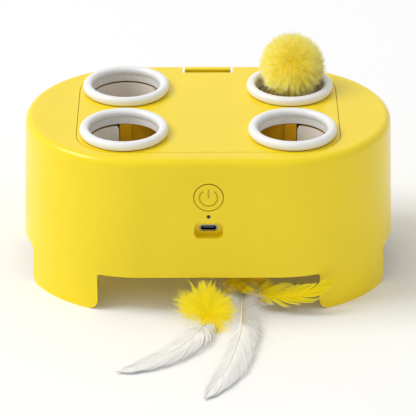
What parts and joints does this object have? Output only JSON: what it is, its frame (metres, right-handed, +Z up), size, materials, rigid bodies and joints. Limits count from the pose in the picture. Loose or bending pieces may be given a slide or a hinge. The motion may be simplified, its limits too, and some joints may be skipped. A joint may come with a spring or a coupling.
{
  "type": "pop-up feather cat toy",
  "caption": "Battery cat toy whose fur pompoms pop up through rimmed holes in its lid while feathers swing out from under its front arch.",
  "frame": {"origin": "on the floor, under the middle of the whole toy's footprint, feathers included", "axes": "+X along the housing to its right end, +Y from the front wall to the rear, +Z up"},
  "size_m": [0.2002, 0.2204, 0.1171],
  "materials": {
    "yellow_housing": "satin moulded",
    "yellow_lid": "satin moulded",
    "white_trim": "satin moulded",
    "white_inner": "moulded",
    "mechanism_plastic": "moulded",
    "gear_plastic": "moulded",
    "yellow_fur": "long pile",
    "white_feather": "feather",
    "yellow_feather": "feather",
    "steel": "plain",
    "spring_steel": "blued",
    "brass": "plain",
    "motor_can": "plain",
    "cell_wrap": "film",
    "board": "solder mask",
    "black_plastic": "moulded",
    "light": "smoked"
  },
  "bodies": {
    "base": {"housing_shell": "yellow_housing", "base_plate": "yellow_housing", "base_screws": "steel", "sleeve_front_left": "white_inner", "sleeve_front_right": "white_inner", "sleeve_rear_left": "white_inner", "sleeve_rear_right": "white_inner", "mechanism_frame": "mechanism_plastic", "frame_screws": "steel", "lever_pins": "steel", "shaft_bushes": "brass", "popup_motor": "motor_can", "popup_gearbox": "brass", "motor_cover": "yellow_housing", "battery_cover": "yellow_housing", "battery_cell": "cell_wrap", "battery_contacts": "steel", "feather_motor": "motor_can", "feather_gearbox": "brass", "circuit_board": "board", "board_screws": "steel", "usb_port": "steel", "usb_tongue": "black_plastic", "button_switch": "black_plastic", "status_light": "light"},
    "lid": {"lid": "yellow_lid", "ring_front_left": "white_trim", "ring_front_right": "white_trim", "ring_rear_left": "white_trim", "ring_rear_right": "white_trim"},
    "latch": {"lid_latch": "yellow_lid"},
    "lever_front_left": {"lever_front_left": "mechanism_plastic", "pompom_front_left": "yellow_fur", "follower_spring_front_left": "spring_steel"},
    "lever_front_right": {"lever_front_right": "mechanism_plastic", "pompom_front_right": "yellow_fur", "follower_spring_front_right": "spring_steel"},
    "lever_rear_left": {"lever_rear_left": "mechanism_plastic", "pompom_rear_left": "yellow_fur", "follower_spring_rear_left": "spring_steel"},
    "lever_rear_right": {"lever_rear_right": "mechanism_plastic", "pompom_rear_right": "yellow_fur", "follower_spring_rear_right": "spring_steel"},
    "cam": {"cam_shaft": "steel", "cam_rotor": "gear_plastic", "cam_gear": "gear_plastic", "shaft_clip": "steel"},
    "popup_drive": {"popup_pinion": "gear_plastic"},
    "feathers": {"feather_shaft": "steel", "feather_sector": "gear_plastic", "feather_clip": "yellow_housing", "feather_white_left": "white_feather", "feather_white_middle": "white_feather", "feather_yellow_left": "yellow_feather", "feather_yellow_right": "yellow_feather"},
    "feather_drive": {"feather_pinion": "gear_plastic"},
    "button": {"power_button": "yellow_housing"}
  },
  "joints": [
    {"name": "lid_lift", "type": "slide", "parent": "base", "child": "lid", "axis": [0, 0, 1], "range_m": [0, 0.06], "deforming": ["lid_latch"]},
    {"name": "latch_bend", "type": "hinge", "parent": "lid", "child": "latch", "pos_m": [0, 0.10367, 0.07], "axis": [1, 0, 0], "range_deg": [0, 12], "stiffness_Nm_per_rad": 0.3},
    {"name": "lever_swing_front_left", "type": "hinge", "parent": "base", "child": "lever_front_left", "pos_m": [-0.00845, 0.04071, 0.0805], "axis": [-0.5353, 0.8447, 0], "range_deg": [0, 56.6], "deforming": ["follower_spring_front_left"]},
    {"name": "lever_swing_front_right", "type": "hinge", "parent": "base", "child": "lever_front_right", "pos_m": [0.00845, 0.04071, 0.0805], "axis": [-0.5353, -0.8447, 0], "range_deg": [0, 56.6], "deforming": ["follower_spring_front_right"]},
    {"name": "lever_swing_rear_left", "type": "hinge", "parent": "base", "child": "lever_rear_left", "pos_m": [-0.00845, 0.05142, 0.0805], "axis": [0.5353, 0.8447, 0], "range_deg": [0, 56.6], "deforming": ["follower_spring_rear_left"]},
    {"name": "lever_swing_rear_right", "type": "hinge", "parent": "base", "child": "lever_rear_right", "pos_m": [0.00845, 0.05142, 0.0805], "axis": [0.5353, -0.8447, 0], "range_deg": [-56.6, 0], "stiffness_Nm_per_rad": 0.05, "springref_deg": 34.38, "deforming": ["follower_spring_rear_right"]},
    {"name": "cam_spin", "type": "hinge", "parent": "base", "child": "cam", "pos_m": [0, 0.04607, 0.031], "axis": [0, 0, 1], "continuous": true},
    {"name": "popup_pinion_spin", "type": "hinge", "parent": "base", "child": "popup_drive", "pos_m": [-0.0245, 0.04607, 0.031], "axis": [0, 0, 1], "continuous": true},
    {"name": "feather_swing", "type": "hinge", "parent": "base", "child": "feathers", "pos_m": [0.011, 0.00807, 0.031], "axis": [0, 0, 1], "range_deg": [-30, 0]},
    {"name": "feather_pinion_spin", "type": "hinge", "parent": "base", "child": "feather_drive", "pos_m": [-0.0065, 0.00807, 0.031], "axis": [0, 0, 1], "range_deg": [0, 120]},
    {"name": "button_press", "type": "slide", "parent": "base", "child": "button", "axis": [0, 1, 0], "range_m": [0, 0.0008], "stiffness_N_per_m": 400}
  ],
  "couplings": [
    {"joint": "popup_pinion_spin", "follows": "cam_spin", "ratio": -6},
    {"joint": "feather_pinion_spin", "follows": "feather_swing", "ratio": -4}
  ]
}
